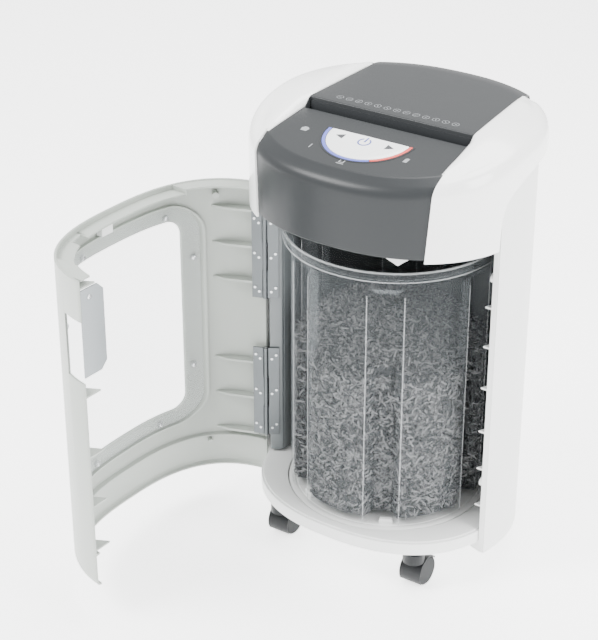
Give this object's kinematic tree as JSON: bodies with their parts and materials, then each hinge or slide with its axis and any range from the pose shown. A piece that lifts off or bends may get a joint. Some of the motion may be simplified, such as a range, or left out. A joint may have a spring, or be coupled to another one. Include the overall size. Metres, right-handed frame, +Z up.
{
  "type": "paper shredder",
  "caption": "Cabinet paper shredder on castors, with a hinged front door standing open, a clear fluted pull-out bin of clippings and a geared cutting block in the head.",
  "frame": {"origin": "on the floor under the vertical axis of the round bin stand", "axes": "+X to the right seen from the front, +Y to the back, +Z up"},
  "size_m": [0.4808, 0.5671, 0.6239],
  "materials": {
    "cabinet_white": "fine moulded texture, off-white",
    "column_grey": "smooth moulding, pale blue grey",
    "cover_white": "glossy white moulding",
    "head_grey": "satin mid grey with fine sparkle",
    "throat_grey": "smooth dark grey",
    "chassis_black": "matte black moulding",
    "control_white": "backlit touch panel",
    "status_blue": "translucent light guide",
    "status_red": "translucent light guide",
    "board_green": "solder-mask green",
    "plate_steel": "zinc-plated sheet steel",
    "bronze": "oiled sintered bronze",
    "motor_enamel": "baked enamel",
    "hinge_steel": "satin zinc, blue grey",
    "screw_steel": "bright zinc screws",
    "cutter_steel": "hardened and ground, oiled",
    "gear_nylon": "natural nylon",
    "rocker_black": "glossy black",
    "window_clear": "clear moulded plastic",
    "grip_blue_grey": "smooth blue-grey moulding",
    "bin_clear": "clear moulded plastic, slightly smoky",
    "shredded_paper": "loose cross-cut clippings",
    "castor_black": "matte black nylon",
    "castor_wheel": "dark grey nylon tread"
  },
  "bodies": {
    "cabinet": {"base_plate": "cabinet_white", "bin_stand": "cabinet_white", "side_panel_left": "cabinet_white", "side_panel_right": "cabinet_white", "back_panel": "cabinet_white", "hinge_column": "column_grey", "head_chassis": "chassis_black", "head_shell": "head_grey", "head_cover_left": "cover_white", "head_cover_right": "cover_white", "feed_throat": "throat_grey", "control_panel": "control_white", "status_ring_blue": "status_blue", "status_ring_red": "status_red", "control_board": "board_green", "interlock_switch": "cabinet_white", "cutter_plate_left": "plate_steel", "cutter_plate_right": "plate_steel", "tie_rods": "plate_steel", "cutter_bearings": "bronze", "stripper_combs": "chassis_black", "drive_motor": "motor_enamel", "gear_stub": "plate_steel", "body_hinge_leaves": "hinge_steel", "hinge_pins": "plate_steel", "body_hinge_screws": "screw_steel", "mains_inlet": "chassis_black", "switch_frame": "chassis_black"},
    "door": {"door_shell": "cabinet_white", "door_window": "window_clear", "window_screws": "screw_steel", "grip_plate": "grip_blue_grey", "grip_screw": "screw_steel", "door_hinge_leaves": "hinge_steel", "door_hinge_screws": "screw_steel", "interlock_striker": "cabinet_white"},
    "bin": {"waste_bin": "bin_clear", "paper_clippings": "shredded_paper"},
    "front_cutter": {"cutter_front": "cutter_steel"},
    "rear_cutter": {"cutter_rear": "cutter_steel"},
    "reduction_gear": {"intermediate_gear": "gear_nylon"},
    "motor_rotor": {"motor_pinion": "cutter_steel"},
    "mains_switch": {"mains_rocker": "rocker_black"},
    "castor_front_left": {"castor_hood_front_left": "castor_black"},
    "wheels_front_left": {"castor_wheels_front_left": "castor_wheel"},
    "castor_front_right": {"castor_hood_front_right": "castor_black"},
    "wheels_front_right": {"castor_wheels_front_right": "castor_wheel"},
    "castor_rear_left": {"castor_hood_rear_left": "castor_black"},
    "wheels_rear_left": {"castor_wheels_rear_left": "castor_wheel"},
    "castor_rear_right": {"castor_hood_rear_right": "castor_black"},
    "wheels_rear_right": {"castor_wheels_rear_right": "castor_wheel"}
  },
  "joints": [
    {"name": "door_hinge", "type": "hinge", "parent": "cabinet", "child": "door", "pos_m": [-0.1713, -0.0474, 0.265], "axis": [0, 0, -1], "range_deg": [-93, 12]},
    {"name": "bin_slide", "type": "slide", "parent": "cabinet", "child": "bin", "axis": [0, -1, 0], "range_m": [0, 0.38]},
    {"name": "rear_cutter_spin", "type": "hinge", "parent": "cabinet", "child": "rear_cutter", "pos_m": [0, -0.0105, 0.552], "axis": [1, 0, 0], "continuous": true},
    {"name": "front_cutter_spin", "type": "hinge", "parent": "cabinet", "child": "front_cutter", "pos_m": [0, -0.0385, 0.552], "axis": [1, 0, 0], "continuous": true},
    {"name": "reduction_spin", "type": "hinge", "parent": "cabinet", "child": "reduction_gear", "pos_m": [0, 0.02814, 0.56235], "axis": [1, 0, 0], "continuous": true},
    {"name": "motor_spin", "type": "hinge", "parent": "cabinet", "child": "motor_rotor", "pos_m": [0, 0.07144, 0.53735], "axis": [1, 0, 0], "continuous": true},
    {"name": "mains_rocker_tilt", "type": "hinge", "parent": "cabinet", "child": "mains_switch", "pos_m": [0.018, 0.141, 0.529], "axis": [1, 0, 0], "range_deg": [-8, 8]},
    {"name": "swivel_front_left", "type": "hinge", "parent": "cabinet", "child": "castor_front_left", "pos_m": [-0.106, -0.106, 0.055], "axis": [0, 0, 1], "continuous": true},
    {"name": "roll_front_left", "type": "hinge", "parent": "castor_front_left", "child": "wheels_front_left", "pos_m": [-0.106, -0.094, 0.02], "axis": [1, 0, 0], "continuous": true},
    {"name": "swivel_front_right", "type": "hinge", "parent": "cabinet", "child": "castor_front_right", "pos_m": [0.106, -0.106, 0.055], "axis": [0, 0, 1], "continuous": true},
    {"name": "roll_front_right", "type": "hinge", "parent": "castor_front_right", "child": "wheels_front_right", "pos_m": [0.106, -0.094, 0.02], "axis": [1, 0, 0], "continuous": true},
    {"name": "swivel_rear_left", "type": "hinge", "parent": "cabinet", "child": "castor_rear_left", "pos_m": [-0.102, 0.102, 0.055], "axis": [0, 0, 1], "continuous": true},
    {"name": "roll_rear_left", "type": "hinge", "parent": "castor_rear_left", "child": "wheels_rear_left", "pos_m": [-0.102, 0.114, 0.02], "axis": [1, 0, 0], "continuous": true},
    {"name": "swivel_rear_right", "type": "hinge", "parent": "cabinet", "child": "castor_rear_right", "pos_m": [0.102, 0.102, 0.055], "axis": [0, 0, 1], "continuous": true},
    {"name": "roll_rear_right", "type": "hinge", "parent": "castor_rear_right", "child": "wheels_rear_right", "pos_m": [0.102, 0.114, 0.02], "axis": [1, 0, 0], "continuous": true}
  ],
  "couplings": [
    {"joint": "front_cutter_spin", "follows": "rear_cutter_spin", "ratio": -1},
    {"joint": "reduction_spin", "follows": "rear_cutter_spin", "ratio": -3},
    {"joint": "motor_spin", "follows": "rear_cutter_spin", "ratio": 12}
  ]
}
